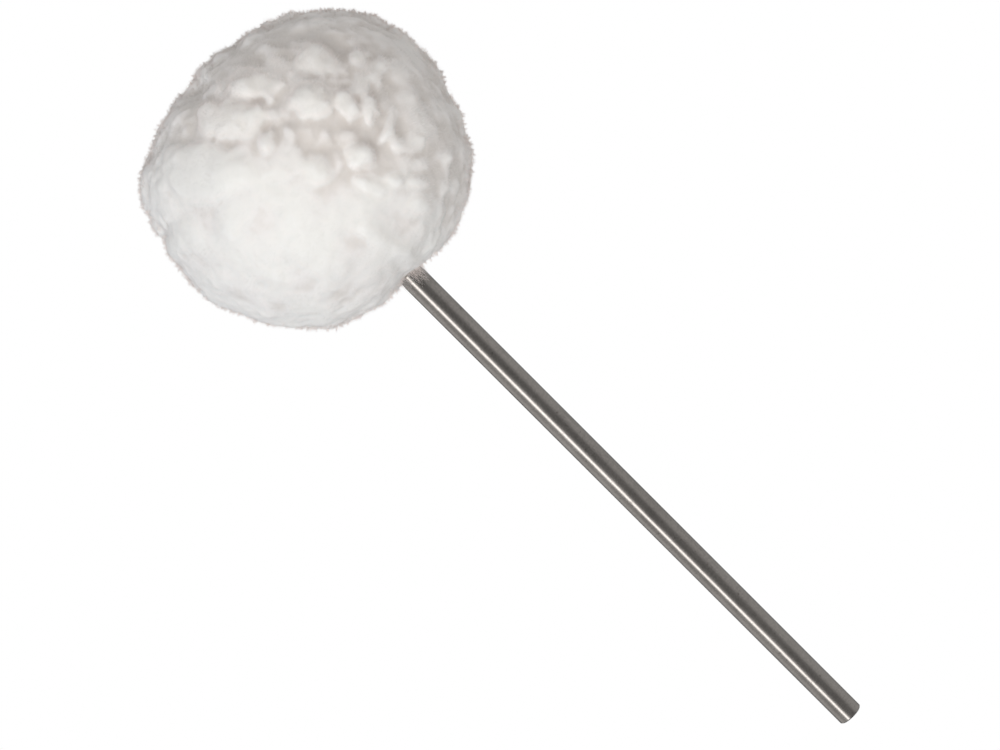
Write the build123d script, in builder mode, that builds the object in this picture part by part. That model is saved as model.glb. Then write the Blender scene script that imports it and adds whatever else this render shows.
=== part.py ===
from build123d import *
import math
import os

# Bass drum pedal beater: a plain steel rod carrying an oval felt core, clamped between
# washers by a nut on the rod's threaded end, under a fleece cover that is gathered and
# whipped to the rod below the core.
# +Z runs along the rod towards the head. The origin is the centre of the rod's free end,
# the end that goes into the pedal's hub. All lengths are in millimetres.

# ---------------------------------------------------------------- driving dimensions
# rod
ROD_D = 7.94  # 5/16 in, the common size of a pedal's beater hub
ROD_R = ROD_D / 2
EDGE = 0.35  # broken edge at the free end
GRIP_END_Z = 188.4  # end of the full-size length that a hub can take
LEAD_R, LEAD_Z = 3.85, 189.9  # where the rod has thinned a little, inside the fleece
LEAD_END_Z = 191.2
NECK_R = 3.6  # undercut that the cover is tied down into
NECK_END_Z = 199.6
SHOULDER_Z = 204.9  # step that the seat washer bears on
TENON_R = 3.0  # M6 tenon through the core
TENON_END_Z = 256.4
THREAD_FROM_Z = 245.0  # last length of the tenon, threaded for the nut
THREAD_RELIEF = 0.25  # depth of the run-out groove under the thread

# felt core, an oval of revolution
HEAD_Z = 233.4  # middle of the head
CORE_A, CORE_C = 33.0, 28.0  # half its width, half its height
SEAT_Z = 206.4  # flat underneath, on the seat washer
POCKET_Z = 247.4  # floor of the pocket that holds the nut
POCKET_R = 10.5
PLUG_Z = 256.9  # ledge that the plug sits on
PLUG_R = 13.0

# clamping hardware
BORE_R = 3.05  # washers' clearance on the tenon
SEAT_WASHER_R = 8.5
CROWN_WASHER_R, CROWN_WASHER_T = 10.0, 1.6
LOCK_WASHER_R, LOCK_WASHER_T, LOCK_SLIT = 5.4, 1.6, 0.9
NUT_AF, NUT_H = 10.0, 5.0

# cover: knitted backing and pile
BACK_T = 1.2
DRAWN = 0.05  # room under the drawn-on backing
BACK_A, BACK_C = CORE_A + BACK_T, CORE_C + BACK_T
SLEEVE_R = NECK_R + BACK_T  # outside of the gathered sleeve
SLEEVE_END_Z = 191.8
PILE_A, PILE_C = 49.5, 44.4  # half the head's width, half its height
PILE_HOLE_R = 4.3  # where the rod comes out of the pile

# whipping: waxed thread wound on the gathered sleeve
THREAD_D = 0.8
THREAD_TURNS = 5
THREAD_PITCH = 0.84
WHIP_Z = 193.6  # centre of the first turn

POLE_R = 0.1  # flat at the pole of each closed oval

LOCK_WASHER_Z = POCKET_Z + CROWN_WASHER_T
NUT_Z = LOCK_WASHER_Z + LOCK_WASHER_T


def below(a, c, r):
    """Height of the lower half of an oval at radius r."""
    return HEAD_Z - c * math.sqrt(1 - (r / a) ** 2)


def above(a, c, r):
    """Height of the upper half of an oval at radius r."""
    return HEAD_Z + c * math.sqrt(1 - (r / a) ** 2)


def turn(a, r):
    """The oval's own angle, in degrees above its middle, at radius r."""
    return math.degrees(math.acos(r / a))


def oval(a, c, first, last):
    """The oval's outline between two angles, as a spline through points 5 degrees or less apart."""
    n = math.ceil((last - first) / 5)
    angles = [math.radians(first + (last - first) * i / n) for i in range(n + 1)]
    Spline(*[(a * math.cos(t), HEAD_Z + c * math.sin(t)) for t in angles])


def oval_to_pole(a, c, first):
    """The oval's outline up to the crown, closed by a flat POLE_R across."""
    oval(a, c, first, turn(a, POLE_R))
    Line((POLE_R, above(a, c, POLE_R)), (0, above(a, c, POLE_R)))


os.makedirs("parts", exist_ok=True)

# ---------------------------------------------------------------- shaft
# One turned rod: full-size grip, a slight lead under the fleece's mouth, binding
# undercut, land with its shoulder, and the
# tenon with a short run-out groove below the threaded end. The thread is drawn plain.
with BuildPart() as shaft:
    with BuildSketch(Plane.XZ):
        with BuildLine():
            Polyline(
                (0, 0),
                (ROD_R, 0),
                (ROD_R, GRIP_END_Z),
                (LEAD_R, LEAD_Z),
                (LEAD_R, LEAD_END_Z),
                (NECK_R, LEAD_END_Z + 0.3),
                (NECK_R, NECK_END_Z),
                (ROD_R, NECK_END_Z),
                (ROD_R, SHOULDER_Z),
                (TENON_R, SHOULDER_Z),
                (TENON_R, THREAD_FROM_Z - 1.0),
                (TENON_R - THREAD_RELIEF, THREAD_FROM_Z - 0.7),
                (TENON_R - THREAD_RELIEF, THREAD_FROM_Z),
                (TENON_R, THREAD_FROM_Z + 0.3),
                (TENON_R, TENON_END_Z),
                (0, TENON_END_Z),
                close=True,
            )
        make_face()
    revolve(axis=Axis.Z)
    ends = shaft.edges().filter_by(GeomType.CIRCLE).sort_by(Axis.Z)
    chamfer(ends[0], length=EDGE)
    chamfer(ends[-1], length=0.5)
shaft.part.label = "shaft"
export_step(shaft.part, "parts/shaft.step")

# ---------------------------------------------------------------- seat washer
with BuildPart() as seat_washer:
    with BuildSketch(Plane.XY.offset(SHOULDER_Z)):
        Circle(SEAT_WASHER_R)
        Circle(BORE_R, mode=Mode.SUBTRACT)
    extrude(amount=SEAT_Z - SHOULDER_Z)
    rims = seat_washer.edges().filter_by(GeomType.CIRCLE).sort_by(SortBy.RADIUS)
    fillet(rims[-2:], radius=0.3)
seat_washer.part.label = "seat_washer"
export_step(seat_washer.part, "parts/seat_washer.step")

# ---------------------------------------------------------------- felt core
# Oval of pressed felt with a through bore on the tenon and a stepped pocket at the crown.
seat_r = CORE_A * math.sqrt(1 - ((HEAD_Z - SEAT_Z) / CORE_C) ** 2)
with BuildPart() as felt_core:
    with BuildSketch(Plane.XZ):
        with BuildLine():
            Line((TENON_R, SEAT_Z), (seat_r, SEAT_Z))
            oval(CORE_A, CORE_C, -turn(CORE_A, seat_r), turn(CORE_A, PLUG_R))
            Polyline(
                (PLUG_R, above(CORE_A, CORE_C, PLUG_R)),
                (PLUG_R, PLUG_Z),
                (POCKET_R, PLUG_Z),
                (POCKET_R, POCKET_Z),
                (TENON_R, POCKET_Z),
                (TENON_R, SEAT_Z),
            )
        make_face()
    revolve(axis=Axis.Z)
felt_core.part.label = "felt_core"
export_step(felt_core.part, "parts/felt_core.step")

# ---------------------------------------------------------------- crown washer
with BuildPart() as crown_washer:
    with BuildSketch(Plane.XY.offset(POCKET_Z)):
        Circle(CROWN_WASHER_R)
        Circle(BORE_R, mode=Mode.SUBTRACT)
    extrude(amount=CROWN_WASHER_T)
    rims = crown_washer.edges().filter_by(GeomType.CIRCLE).sort_by(SortBy.RADIUS)
    fillet(rims[-2:], radius=0.3)
crown_washer.part.label = "crown_washer"
export_step(crown_washer.part, "parts/crown_washer.step")

# ---------------------------------------------------------------- lock washer
# Split spring washer, drawn closed up flat, as it sits under the tightened nut.
with BuildPart() as lock_washer:
    with BuildSketch(Plane.XY.offset(LOCK_WASHER_Z)):
        Circle(LOCK_WASHER_R)
        Circle(BORE_R, mode=Mode.SUBTRACT)
    extrude(amount=LOCK_WASHER_T)
    with BuildSketch(Plane.XY.offset(LOCK_WASHER_Z)):
        with Locations(((LOCK_WASHER_R + BORE_R) / 2, 0)):
            Rectangle(LOCK_WASHER_R, LOCK_SLIT, rotation=25)
    extrude(amount=LOCK_WASHER_T, mode=Mode.SUBTRACT)
lock_washer.part.label = "lock_washer"
export_step(lock_washer.part, "parts/lock_washer.step")

# ---------------------------------------------------------------- nut
# Hexagon nut, its corners turned off above and below, its bore a plain fit on the tenon.
with BuildPart() as crown_nut:
    with BuildSketch(Plane.XY.offset(NUT_Z)):
        RegularPolygon(NUT_AF / 2, 6, major_radius=False)
    extrude(amount=NUT_H)
    with BuildSketch(Plane.XZ):
        with BuildLine():
            Polyline(
                (0, NUT_Z),
                (NUT_AF / 2 - 0.1, NUT_Z),
                (NUT_AF / 2 + 0.9, NUT_Z + 0.58),
                (NUT_AF / 2 + 0.9, NUT_Z + NUT_H - 0.58),
                (NUT_AF / 2 - 0.1, NUT_Z + NUT_H),
                (0, NUT_Z + NUT_H),
                close=True,
            )
        make_face()
    revolve(axis=Axis.Z, mode=Mode.INTERSECT)
    with Locations((0, 0, NUT_Z)):
        Hole(TENON_R, depth=NUT_H * 4)
crown_nut.part.label = "crown_nut"
export_step(crown_nut.part, "parts/crown_nut.step")

# ---------------------------------------------------------------- crown plug
# Felt disc glued over the nut, domed to carry on the core's oval.
with BuildPart() as crown_plug:
    with BuildSketch(Plane.XZ):
        with BuildLine():
            Polyline(
                (0, above(CORE_A, CORE_C, POLE_R)),
                (0, PLUG_Z),
                (PLUG_R, PLUG_Z),
                (PLUG_R, above(CORE_A, CORE_C, PLUG_R)),
            )
            oval_to_pole(CORE_A, CORE_C, turn(CORE_A, PLUG_R))
        make_face()
    revolve(axis=Axis.Z)
crown_plug.part.label = "crown_plug"
export_step(crown_plug.part, "parts/crown_plug.step")

# ---------------------------------------------------------------- fleece backing
# The knitted ground of the fleece, drawn over the core and gathered into the undercut.
IN_R, OUT_R = 12.0, 13.2  # where the gathers leave the oval, inside and outside
INNER_A, INNER_C = CORE_A + DRAWN, CORE_C + DRAWN
with BuildPart() as fleece_backing:
    with BuildSketch(Plane.XZ):
        with BuildLine():
            oval_to_pole(INNER_A, INNER_C, -turn(INNER_A, IN_R))
            Line(
                (0, above(INNER_A, INNER_C, POLE_R)),
                (0, above(BACK_A, BACK_C, POLE_R)),
            )
            oval_to_pole(BACK_A, BACK_C, -turn(BACK_A, OUT_R))
            Polyline(
                (OUT_R, below(BACK_A, BACK_C, OUT_R)),
                (SLEEVE_R + 0.45, NECK_END_Z - 0.7),
                (SLEEVE_R, NECK_END_Z - 1.3),
                (SLEEVE_R, SLEEVE_END_Z),
                (NECK_R, SLEEVE_END_Z),
                (NECK_R, NECK_END_Z),
                (ROD_R + 0.08, NECK_END_Z),
                (IN_R, below(INNER_A, INNER_C, IN_R)),
            )
        make_face()
    revolve(axis=Axis.Z)
fleece_backing.part.label = "fleece_backing"
export_step(fleece_backing.part, "parts/fleece_backing.step")

# ---------------------------------------------------------------- neck whipping
# Waxed thread wound tight round the gathered sleeve, one turn on the next.
with BuildPart() as neck_whipping:
    with BuildLine(Plane.XY.offset(WHIP_Z)):
        turns = Helix(
            pitch=THREAD_PITCH,
            height=THREAD_PITCH * THREAD_TURNS,
            radius=SLEEVE_R + THREAD_D / 2,
        )
    with BuildSketch(Plane(origin=turns @ 0, z_dir=turns % 0)):
        Circle(THREAD_D / 2)
    sweep(path=turns, is_frenet=True)
neck_whipping.part.label = "neck_whipping"
export_step(neck_whipping.part, "parts/neck_whipping.step")

# ---------------------------------------------------------------- fleece pile
# The soft standing pile, as one closed solid of its outer shape, open round the rod.
WHIP_ROOM_R = SLEEVE_R + THREAD_D + 0.2
gather_z = below(BACK_A, BACK_C, OUT_R)
slope = (gather_z - (NECK_END_Z - 0.7)) / (OUT_R - (SLEEVE_R + 0.45))
with BuildPart() as fleece_pile:
    with BuildSketch(Plane.XZ):
        with BuildLine():
            oval_to_pole(PILE_A, PILE_C, -turn(PILE_A, PILE_HOLE_R))
            Line(
                (0, above(PILE_A, PILE_C, POLE_R)),
                (0, above(BACK_A, BACK_C, POLE_R)),
            )
            oval_to_pole(BACK_A, BACK_C, -turn(BACK_A, OUT_R))
            Polyline(
                (OUT_R, gather_z),
                (WHIP_ROOM_R, NECK_END_Z - 0.7 + slope * (WHIP_ROOM_R - SLEEVE_R - 0.45)),
                (WHIP_ROOM_R, WHIP_Z - THREAD_D),
                (SLEEVE_R + 0.1, WHIP_Z - THREAD_D),
                (SLEEVE_R + 0.1, SLEEVE_END_Z - 0.1),
                (PILE_HOLE_R, SLEEVE_END_Z - 0.1),
                (PILE_HOLE_R, below(PILE_A, PILE_C, PILE_HOLE_R)),
            )
        make_face()
    revolve(axis=Axis.Z)
fleece_pile.part.label = "fleece_pile"
export_step(fleece_pile.part, "parts/fleece_pile.step")
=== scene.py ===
"""Looks of a bass drum pedal beater: a fluffy white fleece ball on a plain bright steel rod.

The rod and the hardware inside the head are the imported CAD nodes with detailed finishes.
The fleece is modelled here: a lumpy closed body of soft puffs, and the fibres that lie over it in locks.
Everything is in metres in the row frame: +Z along the rod to the head, origin at the centre of the rod's free end.
"""

import math

import bpy
import numpy as np
from mathutils import Matrix, Vector
from mathutils.kdtree import KDTree


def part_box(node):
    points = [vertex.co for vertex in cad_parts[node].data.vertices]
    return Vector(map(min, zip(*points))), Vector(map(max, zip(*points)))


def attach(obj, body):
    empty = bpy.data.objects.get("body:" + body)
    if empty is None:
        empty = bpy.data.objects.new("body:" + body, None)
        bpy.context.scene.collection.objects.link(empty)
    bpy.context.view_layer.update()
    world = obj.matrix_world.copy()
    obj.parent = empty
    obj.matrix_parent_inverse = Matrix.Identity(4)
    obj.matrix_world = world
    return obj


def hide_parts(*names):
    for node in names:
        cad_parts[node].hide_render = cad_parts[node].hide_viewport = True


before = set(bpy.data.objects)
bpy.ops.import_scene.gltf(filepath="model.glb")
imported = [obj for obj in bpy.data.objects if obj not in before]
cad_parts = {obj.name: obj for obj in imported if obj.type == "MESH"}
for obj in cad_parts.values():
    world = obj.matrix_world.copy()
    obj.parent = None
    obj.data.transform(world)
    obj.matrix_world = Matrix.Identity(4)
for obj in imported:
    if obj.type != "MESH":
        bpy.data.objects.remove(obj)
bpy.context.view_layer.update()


scene = bpy.context.scene
MM = 0.001

# ---------------------------------------------------------------- camera

TILT = math.radians(11.6)  # the view looks down on the upright rod by this much
REACH = 2.1204
AIM = Vector((-0.00231, 0.0, 0.14975))
BACK = Vector((0.0, -math.cos(TILT), math.sin(TILT)))  # from the part to the camera
UP0 = Vector((0.0, math.sin(TILT), math.cos(TILT)))
SIDE = Vector((1.0, 0.0, 0.0))
RIGHT = 0.7067 * SIDE - 0.7075 * UP0  # the camera is rolled, so the rod runs to the lower right
UP = 0.7075 * SIDE + 0.7067 * UP0

camera_data = bpy.data.cameras.new("camera")
camera_data.sensor_width = 36.0
camera_data.lens = 257.65
camera_data.clip_start = 0.01
camera_data.clip_end = 60.0
camera = bpy.data.objects.new("camera", camera_data)
scene.collection.objects.link(camera)
turn = Matrix((RIGHT.normalized(), UP.normalized(), BACK)).transposed().to_4x4()
camera.matrix_world = Matrix.Translation(AIM + REACH * BACK) @ turn
scene.camera = camera

# ---------------------------------------------------------------- small helpers

rng = np.random.default_rng(20261122)


def unit(v):
    return v / np.maximum(np.linalg.norm(v, axis=-1, keepdims=True), 1e-12)


def hashed(i, j, k, seed):
    """A repeatable value from 0 to 1 for each whole-number lattice point."""
    h = (
        i.astype(np.uint32) * np.uint32(374761393)
        + j.astype(np.uint32) * np.uint32(668265263)
        + k.astype(np.uint32) * np.uint32(2246822519)
        + np.uint32((seed * 3266489917) % 4294967296)
    )
    h = (h ^ (h >> np.uint32(13))) * np.uint32(1274126177)
    h = (h ^ (h >> np.uint32(16))) * np.uint32(2654435761)
    return (h ^ (h >> np.uint32(15))).astype(np.float64) / 4294967295.0


def noise3(p, size, seed):
    """Smooth noise from -1 to 1 at points p, with lumps about size across."""
    q = p / size + 1000.0
    base = np.floor(q)
    f = q - base
    f = f * f * f * (f * (f * 6 - 15) + 10)
    c = base.astype(np.int64)
    out = 0.0
    for a in (0, 1):
        for b in (0, 1):
            for d in (0, 1):
                w = (
                    (f[:, 0] if a else 1 - f[:, 0])
                    * (f[:, 1] if b else 1 - f[:, 1])
                    * (f[:, 2] if d else 1 - f[:, 2])
                )
                out = out + w * hashed(c[:, 0] + a, c[:, 1] + b, c[:, 2] + d, seed)
    return 2.0 * out - 1.0


def noise3v(p, size, seed):
    return np.stack([noise3(p, size, seed + 17 * n) for n in range(3)], axis=1)


def new_mesh(name, co, loops, starts, smooth=True):
    """A mesh object from numpy arrays: points, corner vertex numbers and each face's first corner."""
    me = bpy.data.meshes.new(name)
    me.vertices.add(len(co))
    me.vertices.foreach_set("co", np.ascontiguousarray(co, np.float32).ravel())
    me.loops.add(len(loops))
    me.loops.foreach_set("vertex_index", np.ascontiguousarray(loops, np.int32).ravel())
    me.polygons.add(len(starts))
    me.polygons.foreach_set("loop_start", np.ascontiguousarray(starts, np.int32))
    if smooth:
        me.polygons.foreach_set("use_smooth", np.ones(len(starts), bool))
    me.update(calc_edges=True)
    me.validate()
    ob = bpy.data.objects.new(name, me)
    scene.collection.objects.link(ob)
    return ob


def mesh_arrays(me):
    co = np.zeros(len(me.vertices) * 3, np.float32)
    me.vertices.foreach_get("co", co)
    me.calc_loop_triangles()
    tri = np.zeros(len(me.loop_triangles) * 3, np.int32)
    me.loop_triangles.foreach_get("vertices", tri)
    return co.reshape(-1, 3).astype(np.float64), tri.reshape(-1, 3)


# ---------------------------------------------------------------- fleece: its outer form

low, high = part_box("fleece_pile")
CENTRE = np.array([0.0, 0.0, (low.z + high.z) / 2 + 0.0])
HEAD = np.array([0.0, 0.0, 0.2334])
PILE_A = (high.x - low.x) / 2
PILE_C = high.z - HEAD[2]
ROD_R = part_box("shaft")[1].x

view_v = np.array(BACK)
view_r = np.array(RIGHT.normalized())
view_u = np.array(UP.normalized())
toward_free = -np.array(UP0)  # the rod's free end, seen from the front
toward_left = np.array([-1.0, 0.0, 0.0])

# How far the head's outline stands out, every 7.5 degrees from the free end round by the left side, in mm.
OUTLINE = np.array([
    42.4, 43.2, 45.3, 45.2, 45.9, 46.9, 46.5, 47.0, 47.4, 47.3, 47.0, 48.3,
    48.9, 48.0, 48.7, 46.5, 49.9, 50.8, 50.3, 46.8, 47.0, 46.0, 45.9, 40.9,
    45.4, 46.0, 44.7, 46.4, 46.0, 47.6, 48.4, 49.5, 51.0, 50.7, 50.4, 50.6,
    50.3, 50.4, 47.1, 49.7, 48.2, 50.1, 48.9, 48.8, 47.6, 46.8, 46.1, 44.0,
])  # fmt: skip


def oval_reach(d, a, c):
    """Distance from the middle of an oval of half-width a and half-height c to its surface along unit vectors d."""
    return 1.0 / np.sqrt((d[:, 0] ** 2 + d[:, 1] ** 2) / a**2 + d[:, 2] ** 2 / c**2)


def outer_reach(d):
    """The fleece's outer surface along unit vectors d: an oval, uneven as a hand-trimmed ball is."""
    r = oval_reach(d, PILE_A, PILE_C)
    e = np.arcsin(np.clip(d @ view_v, -1, 1))
    th = np.degrees(np.arctan2(d @ toward_left, d @ toward_free)) % 360
    want = np.interp(th, np.arange(49) * 7.5, np.append(OUTLINE, OUTLINE[0])) * MM
    flat = unit(d - np.outer(d @ view_v, view_v))
    off = want - oval_reach(flat, PILE_A, PILE_C)
    near = np.exp(-((e / math.radians(26)) ** 2))
    rest = 0.9 * MM * noise3(d, 0.55, 5)
    return r + off * near + rest * (1 - near)


def on_surface(xy):
    """Points of the fleece's outer surface behind picture positions xy, in a picture of 1000 by 750."""
    xy = np.asarray(xy, float)
    eye = np.array(AIM + REACH * BACK)
    ray = unit(
        np.outer((xy[:, 0] - 500) / 7157, view_r)
        + np.outer((375 - xy[:, 1]) / 7157, view_u)
        - view_v
    )
    far = ray @ (HEAD - eye)
    near = far - 0.07
    for _ in range(28):
        t = (near + far) / 2
        q = eye + ray * t[:, None] - HEAD
        inside = np.linalg.norm(q, axis=1) < outer_reach(unit(q))
        far = np.where(inside, t, far)
        near = np.where(inside, near, t)
    q = eye + ray * far[:, None] - HEAD
    d = unit(q)
    return HEAD + d * outer_reach(d)[:, None]


def out_of(p):
    """The outward direction of the fleece's oval at points p."""
    q = p - HEAD
    return unit(q / np.array([PILE_A**2, PILE_A**2, PILE_C**2]))


# ---------------------------------------------------------------- fleece: puffs

# The largest puffs on the front: picture position, half-length and half-width in picture units, the turn of the
# length from the picture's x axis towards down, in degrees, how thick the puff is and how far its top stands from
# the outer surface, in mm. How far the top stands also sets how much painted light its top gets.
PUFFS = [
    # the bright clumps
    (306, 101, 20, 18, 15, 5.2, 0.95),
    (320, 108, 11, 12, 20, 3.6, 0.5),
    (341, 99, 11, 10, 30, 3.6, 0.55),
    (350, 109, 9, 13, -10, 3.6, 0.65),
    (369, 106, 8, 11, 0, 3.0, 0.45),
    (370, 117, 5, 8, 0, 2.4, 0.2),
    (258, 82, 28, 18, 12, 5.0, 0.35),
    (247, 89, 15, 11, 20, 4.2, 0.7),
    (262, 92, 16, 7, 35, 3.4, 0.2),
    (214, 119, 18, 17, -10, 4.2, 0.6),
    (237, 117, 25, 18, 5, 4.2, 0.7),
    (251, 122, 13, 16, 0, 4.0, 0.5),
    (236, 131, 22, 11, 5, 3.6, 0.5),
    (230, 105, 10, 8, 0, 3.4, 0.3),
    (317, 62, 20, 16, 10, 4.4, 0.55),
    (337, 71, 12, 16, -20, 3.8, -0.1),
    (301, 77, 14, 14, -30, 4.0, -0.1),
    (322, 84, 20, 14, 10, 4.0, -0.3),
    (338, 90, 12, 10, 0, 3.4, -0.3),
    (303, 43, 18, 9, 8, 3.4, -0.5),
    (271, 53, 15, 9, 10, 3.2, -0.4),
    (340, 35, 15, 5, 28, 2.6, -0.5),
    (359, 55, 11, 12, 20, 3.4, -0.2),
    (366, 78, 8, 15, 35, 3.2, -0.1),
    (357, 91, 11, 9, -40, 3.2, -0.1),
    (380, 72, 7, 20, 3, 3.0, -0.3),
    (389, 127, 6, 17, 25, 3.0, 0.15),
    (400, 143, 12, 11, 0, 3.4, 0.0),
    (414, 144, 12, 11, 0, 3.2, 0.15),
    (360, 155, 15, 14, 0, 4.2, 0.75),
    (355, 163, 8, 6, 20, 3.0, 0.6),
    (414, 163, 15, 8, 0, 3.0, 0.1),
    (395, 180, 10, 8, 0, 3.0, 0.4),
    (418, 182, 14, 7, 5, 3.0, 0.3),
    (372, 186, 18, 10, 20, 3.6, 0.5),
    (444, 157, 12, 8, 0, 3.0, -0.5),
    (316, 138, 16, 15, 10, 4.0, -0.4),
    (350, 139, 16, 11, 10, 3.8, -0.5),
    (289, 136, 9, 15, 0, 3.6, -0.3),
    (286, 146, 14, 14, 0, 4.0, -0.2),
    (284, 154, 17, 17, 0, 4.6, 0.0),
    (297, 160, 14, 20, -8, 4.6, 0.0),
    (280, 173, 21, 15, 0, 4.6, 0.0),
    (320, 167, 18, 21, 0, 4.4, 0.1),
    (335, 159, 13, 11, 20, 3.4, -0.2),
    # the pale mass under them, whose upper edge shows
    (200, 174, 38, 30, 0, 3.0, 0.7),
    (240, 170, 26, 22, 0, 3.0, 0.3),
    (176, 164, 15, 19, 0, 2.8, 0.4),
    (246, 150, 15, 14, 0, 3.6, 0.1),
    (264, 146, 14, 14, 0, 3.6, 0.0),
    (262, 172, 24, 22, 0, 4.8, 0.2),
    # greyer, towards the left, the top and the right
    (193, 128, 14, 10, -15, 3.0, -0.9),
    (181, 118, 14, 12, -30, 3.0, -0.9),
    (213, 95, 15, 10, -30, 3.4, -0.3),
    (240, 72, 10, 9, 0, 3.0, -0.5),
    (202, 75, 8, 8, 0, 2.6, -0.1),
    (421, 205, 14, 11, 30, 3.4, 0.2),
    (440, 205, 11, 14, 10, 3.4, -0.2),
    (422, 125, 20, 12, 10, 4.0, -0.3),
    (430, 88, 16, 24, 0, 4.2, -0.8),
    (400, 60, 16, 20, 20, 4.2, -0.9),
    (446, 185, 10, 12, 0, 3.2, -0.2),
    # broad and shallow, low in the picture
    (275, 279, 19, 21, 20, 4.4, 0.1),
    (332, 264, 29, 21, 0, 4.6, 0.1),
    (300, 218, 30, 24, 0, 4.6, 0.0),
    (378, 236, 26, 19, 20, 4.4, 0.15),
    (405, 258, 16, 15, 40, 4.2, 0.4),
    (396, 284, 11, 15, 30, 4.2, 0.2),
    (228, 225, 28, 26, 45, 4.8, 0.0),
]


def sphere_points(n, seed):
    """n unit directions spread evenly and unevenly turned."""
    r = np.random.default_rng(seed)
    i = np.arange(n) + 0.5
    z = 1 - 2 * i / n
    a = i * math.pi * (3 - math.sqrt(5)) + r.uniform(0, 6.28)
    d = np.stack([np.sqrt(1 - z * z) * np.cos(a), np.sqrt(1 - z * z) * np.sin(a), z], 1)
    return unit(d + r.normal(0, 0.55 / math.sqrt(n) * 2, d.shape))


def step(x, a, b):
    """A smooth step from 0 at a to 1 at b."""
    t = np.clip((x - a) / (b - a), 0, 1)
    return t * t * (3 - 2 * t)


def puffiness(d):
    """From 0, smooth, to 1, deeply tufted. The front is smooth low down in the picture and tufted above."""
    side, up, front = d @ view_r, d @ view_u, step(d @ view_v, -0.25, 0.15)
    wave = noise3(d, 0.5, 3)
    tufted = step(up + 0.18 * side + 0.10 * wave, -0.2, 0.22)
    tufted = tufted * (1 - 0.6 * step(up, 0.72, 0.95)) * (1 - 0.5 * step(side + 0.5 * up, 0.78, 1.0))
    tufted = tufted * (1 - 0.35 * step(side, 0.3, 0.6))
    return front * (0.18 + 0.82 * tufted) + (1 - front) * np.clip(0.5 + 0.6 * wave, 0.15, 0.9)


def edge(d):
    """1 on the outline and behind it, 0 on the part of the head that faces the front."""
    return 1 - step(d @ view_v, 0.25, 0.65)


def turned(n, seed):
    """For each outward direction n, two tangents at a random turn."""
    r = np.random.default_rng(seed)
    t = unit(np.cross(n, unit(r.normal(size=n.shape))))
    return t, np.cross(n, t)


def ball(levels):
    """A unit ball of near-even triangles: points and triangles."""
    import bmesh

    bm = bmesh.new()
    bmesh.ops.create_icosphere(bm, subdivisions=levels, radius=1.0)
    co = np.array([v.co[:] for v in bm.verts])
    tri = np.array([[v.index for v in f.verts] for f in bm.faces])
    bm.free()
    return co, tri


NAP = 0.45 * MM  # how far the fibres stand from the body
LIT_PUFFS = []  # the largest puffs' tops and half-axes, and how much painted light each top gets


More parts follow.
